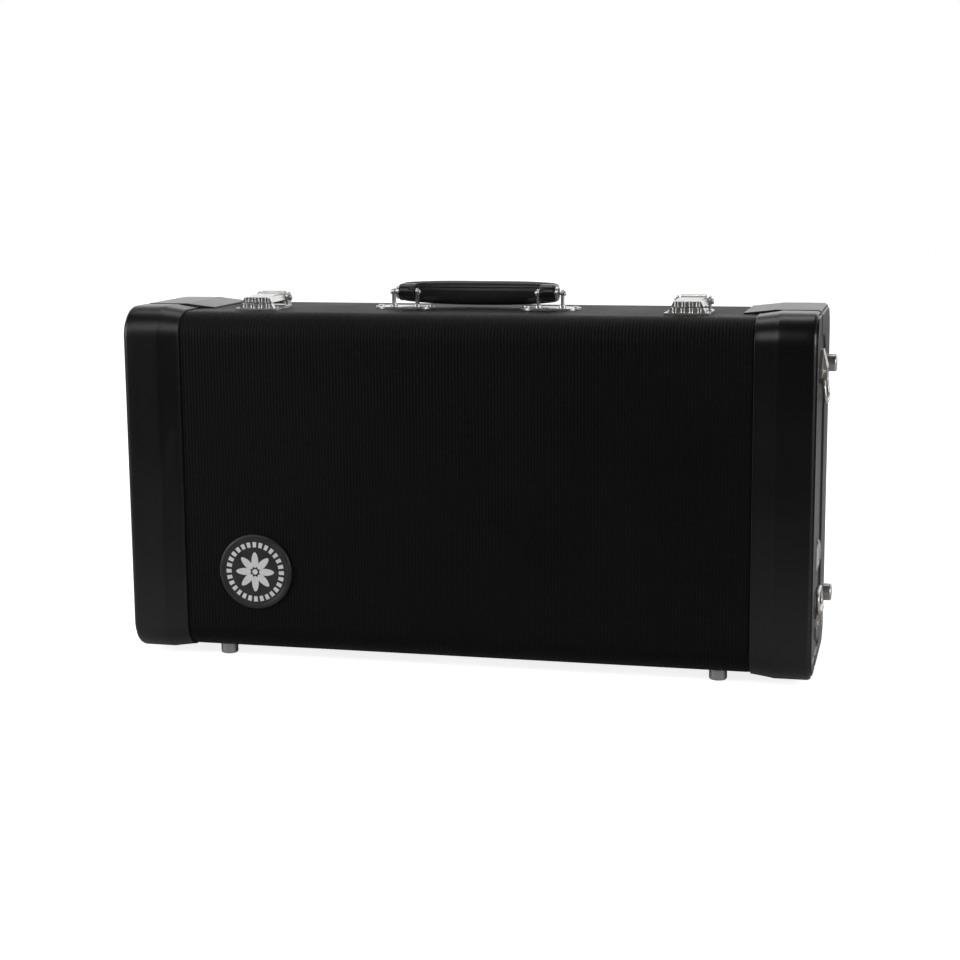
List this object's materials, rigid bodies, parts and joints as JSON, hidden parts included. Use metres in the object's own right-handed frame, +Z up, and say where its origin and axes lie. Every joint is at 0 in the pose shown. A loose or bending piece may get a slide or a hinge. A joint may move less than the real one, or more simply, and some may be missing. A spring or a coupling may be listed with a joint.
{
  "type": "trumpet case",
  "caption": "Hard oblong instrument case on its long side: moulded end caps, ribbed cloth cover, hinged lid, lever latches and a folding handle on top.",
  "frame": {"origin": "on the floor under the middle of the case", "axes": "+X along the case, +Y from the lid to the body, +Z up towards the handle"},
  "size_m": [0.565, 0.15, 0.305],
  "materials": {
    "shell_board": "raw moulded board",
    "cover_fabric": "ribbed black nylon",
    "cap_plastic": "satin moulded",
    "rim_metal": "satin",
    "plush": "short plush pile over foam",
    "webbing": "woven tape",
    "grip_plastic": "semi gloss moulded",
    "steel": "plated steel",
    "chrome": "bright nickel plate",
    "clear_window": "clear vinyl",
    "card": "plain card"
  },
  "bodies": {
    "case_body": {"body_shell": "shell_board", "body_cover": "cover_fabric", "body_cap_left": "cap_plastic", "body_cap_right": "cap_plastic", "body_rim": "rim_metal", "body_lining": "plush", "trumpet_insert": "plush", "accessory_box": "shell_board", "accessory_hinge_pins": "steel", "mouthpiece_holder": "plush", "body_hinge_leaves": "steel", "hinge_pins": "steel", "body_feet": "steel", "body_foot_screws": "steel", "end_feet": "steel", "end_foot_screws": "steel", "handle_bracket_left": "chrome", "handle_bracket_right": "chrome", "handle_pins": "chrome", "handle_bracket_screws": "chrome", "latch_base_left": "chrome", "latch_base_right": "chrome", "latch_pins": "chrome", "latch_springs": "steel", "latch_base_rivets": "chrome", "strap_plates": "chrome", "strap_plate_rivets": "chrome", "card_window": "clear_window", "name_card": "card"},
    "lid": {"lid_shell": "shell_board", "lid_cover": "cover_fabric", "lid_cap_left": "cap_plastic", "lid_cap_right": "cap_plastic", "lid_rim": "rim_metal", "lid_lining": "plush", "lid_pad": "plush", "badge": "cap_plastic", "badge_ring": "chrome", "latch_keeper_left": "chrome", "latch_keeper_right": "chrome", "keeper_rivets": "chrome", "lid_feet": "steel", "lid_foot_screws": "steel", "lid_hinge_leaves": "steel"},
    "handle": {"handle_grip": "grip_plastic", "handle_core": "steel", "handle_ferrules": "chrome"},
    "latch_left": {"latch_lever_left": "chrome", "latch_hook_left": "chrome"},
    "latch_right": {"latch_lever_right": "chrome", "latch_hook_right": "chrome"},
    "accessory_cover": {"accessory_lid": "plush", "accessory_lid_tab": "webbing"},
    "ring_right_upper": {"strap_ring_right_upper": "chrome"},
    "ring_right_lower": {"strap_ring_right_lower": "chrome"},
    "ring_left_upper": {"strap_ring_left_upper": "chrome"},
    "ring_left_lower": {"strap_ring_left_lower": "chrome"}
  },
  "joints": [
    {"name": "lid_hinge", "type": "hinge", "parent": "case_body", "child": "lid", "pos_m": [0, -0.025, 0.0042], "axis": [1, 0, 0], "range_deg": [0, 100]},
    {"name": "handle_swing", "type": "hinge", "parent": "case_body", "child": "handle", "pos_m": [0, 0, 0.2952], "axis": [1, 0, 0], "range_deg": [0, 180]},
    {"name": "latch_left_lift", "type": "hinge", "parent": "case_body", "child": "latch_left", "pos_m": [-0.1735, 0.003, 0.2899], "axis": [-1, 0, 0], "range_deg": [0, 110]},
    {"name": "latch_right_lift", "type": "hinge", "parent": "case_body", "child": "latch_right", "pos_m": [0.1735, 0.003, 0.2899], "axis": [-1, 0, 0], "range_deg": [0, 110]},
    {"name": "accessory_lid_hinge", "type": "hinge", "parent": "case_body", "child": "accessory_cover", "pos_m": [0, -0.0071, 0.2668], "axis": [-1, 0, 0], "range_deg": [0, 70]},
    {"name": "ring_right_upper_swing", "type": "hinge", "parent": "case_body", "child": "ring_right_upper", "pos_m": [0.2762, -0.001, 0.2305], "axis": [0, -1, 0], "range_deg": [0, 150]},
    {"name": "ring_right_lower_swing", "type": "hinge", "parent": "case_body", "child": "ring_right_lower", "pos_m": [0.2762, -0.001, 0.0482], "axis": [0, 1, 0], "range_deg": [0, 150]},
    {"name": "ring_left_upper_swing", "type": "hinge", "parent": "case_body", "child": "ring_left_upper", "pos_m": [-0.2762, -0.001, 0.2305], "axis": [0, 1, 0], "range_deg": [0, 150]},
    {"name": "ring_left_lower_swing", "type": "hinge", "parent": "case_body", "child": "ring_left_lower", "pos_m": [-0.2762, -0.001, 0.0482], "axis": [0, -1, 0], "range_deg": [0, 150]}
  ]
}
